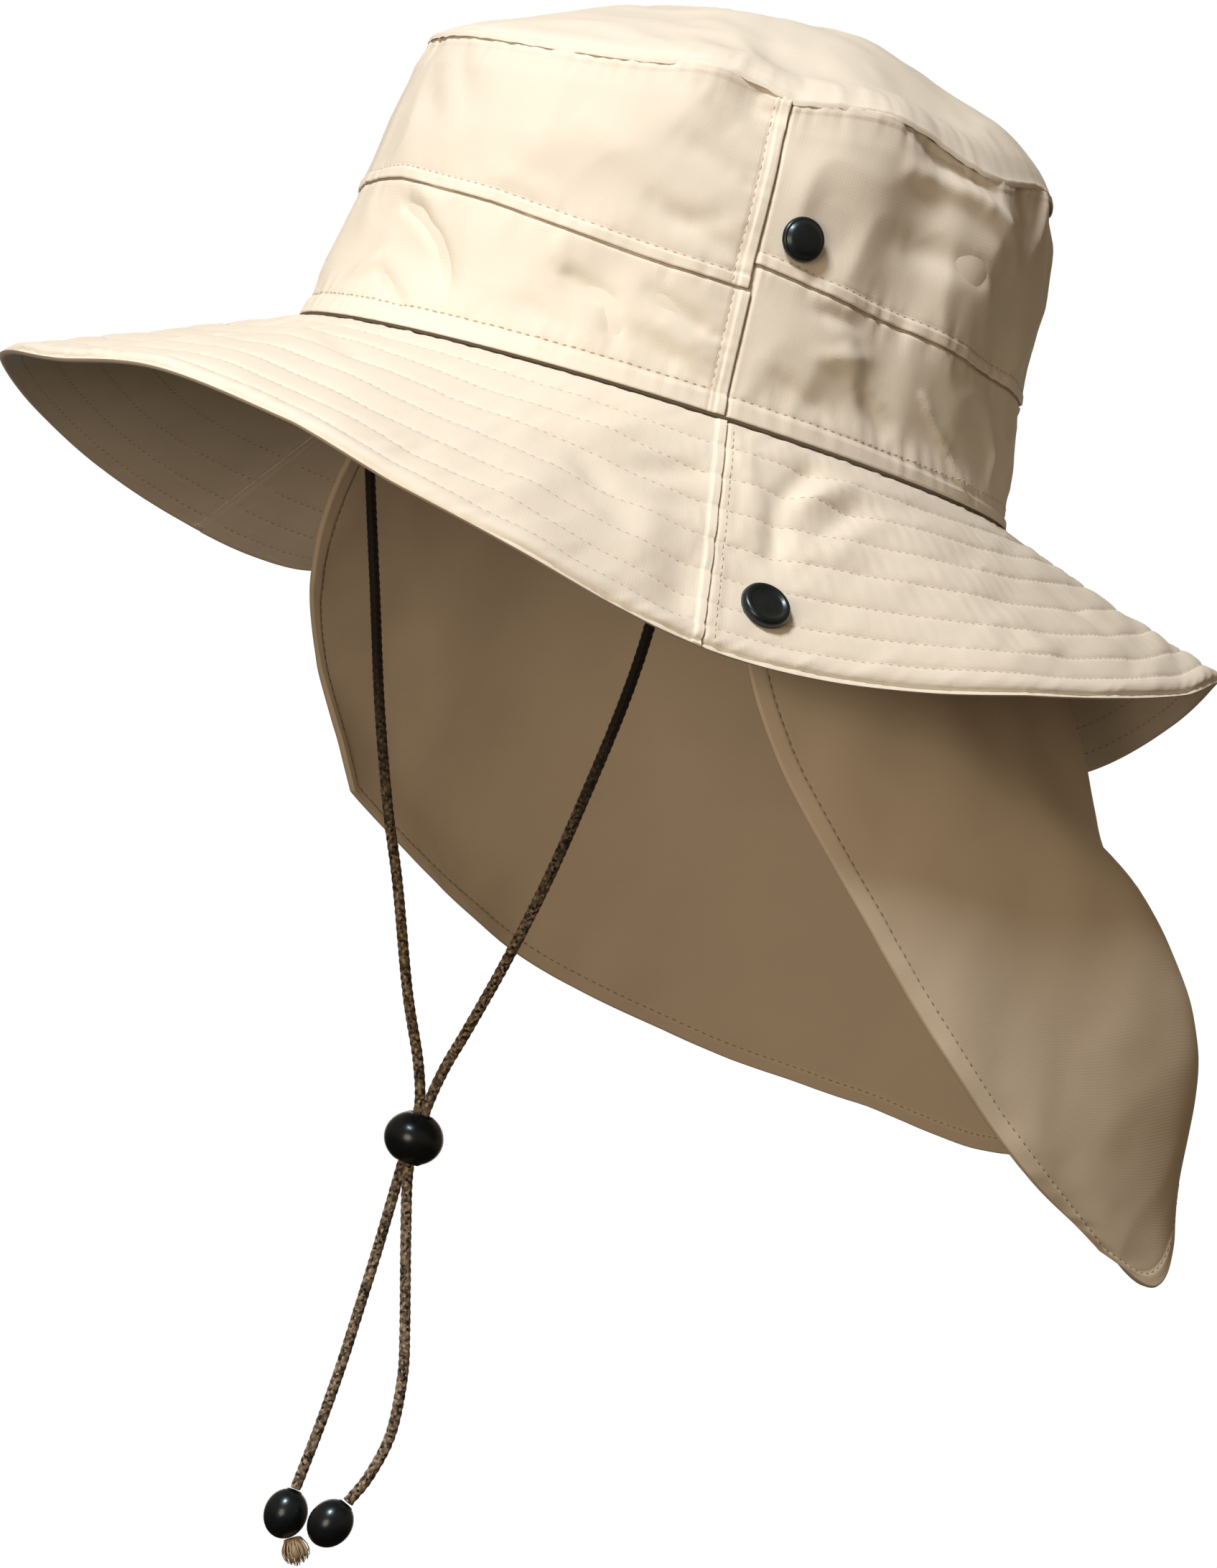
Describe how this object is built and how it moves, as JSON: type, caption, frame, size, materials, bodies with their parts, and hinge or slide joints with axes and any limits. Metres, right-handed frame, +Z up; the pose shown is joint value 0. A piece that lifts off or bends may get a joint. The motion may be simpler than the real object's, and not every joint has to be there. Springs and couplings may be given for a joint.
{
  "type": "safari hat",
  "caption": "Soft bucket-crowned safari hat with a stitched drooping brim, long neck flap, side snap and beaded chin cord.",
  "frame": {"origin": "centre of the head opening, in the plane of the seam between crown and brim", "axes": "+Z up through the crown, -Y towards the front of the hat, +X towards the wearer's left"},
  "size_m": [0.2769, 0.3552, 0.428],
  "materials": {
    "crown_cloth": "smooth plain-weave cloth, matt with a faint sheen",
    "brim_cloth": "smooth plain-weave cloth with concentric stitch rows",
    "flap_cloth": "smooth plain-weave cloth, hemmed",
    "snap_black": "satin black",
    "cord_braid": "braided cord, dark brown flecked with tan",
    "bead_black": "polished black"
  },
  "bodies": {
    "root": {"crown_top": "crown_cloth", "crown_front_upper": "crown_cloth", "crown_front_lower": "crown_cloth", "crown_back_upper": "crown_cloth", "crown_back_lower": "crown_cloth", "brim_front": "brim_cloth", "brim_back": "brim_cloth", "neck_flap": "flap_cloth", "crown_snap_stud": "snap_black", "brim_snap_socket": "snap_black", "chin_cord_left": "cord_braid", "chin_cord_right": "cord_braid", "slide_bead": "bead_black", "end_bead_left": "bead_black", "end_bead_right": "bead_black", "cord_end_knot": "cord_braid"}
  },
  "joints": []
}
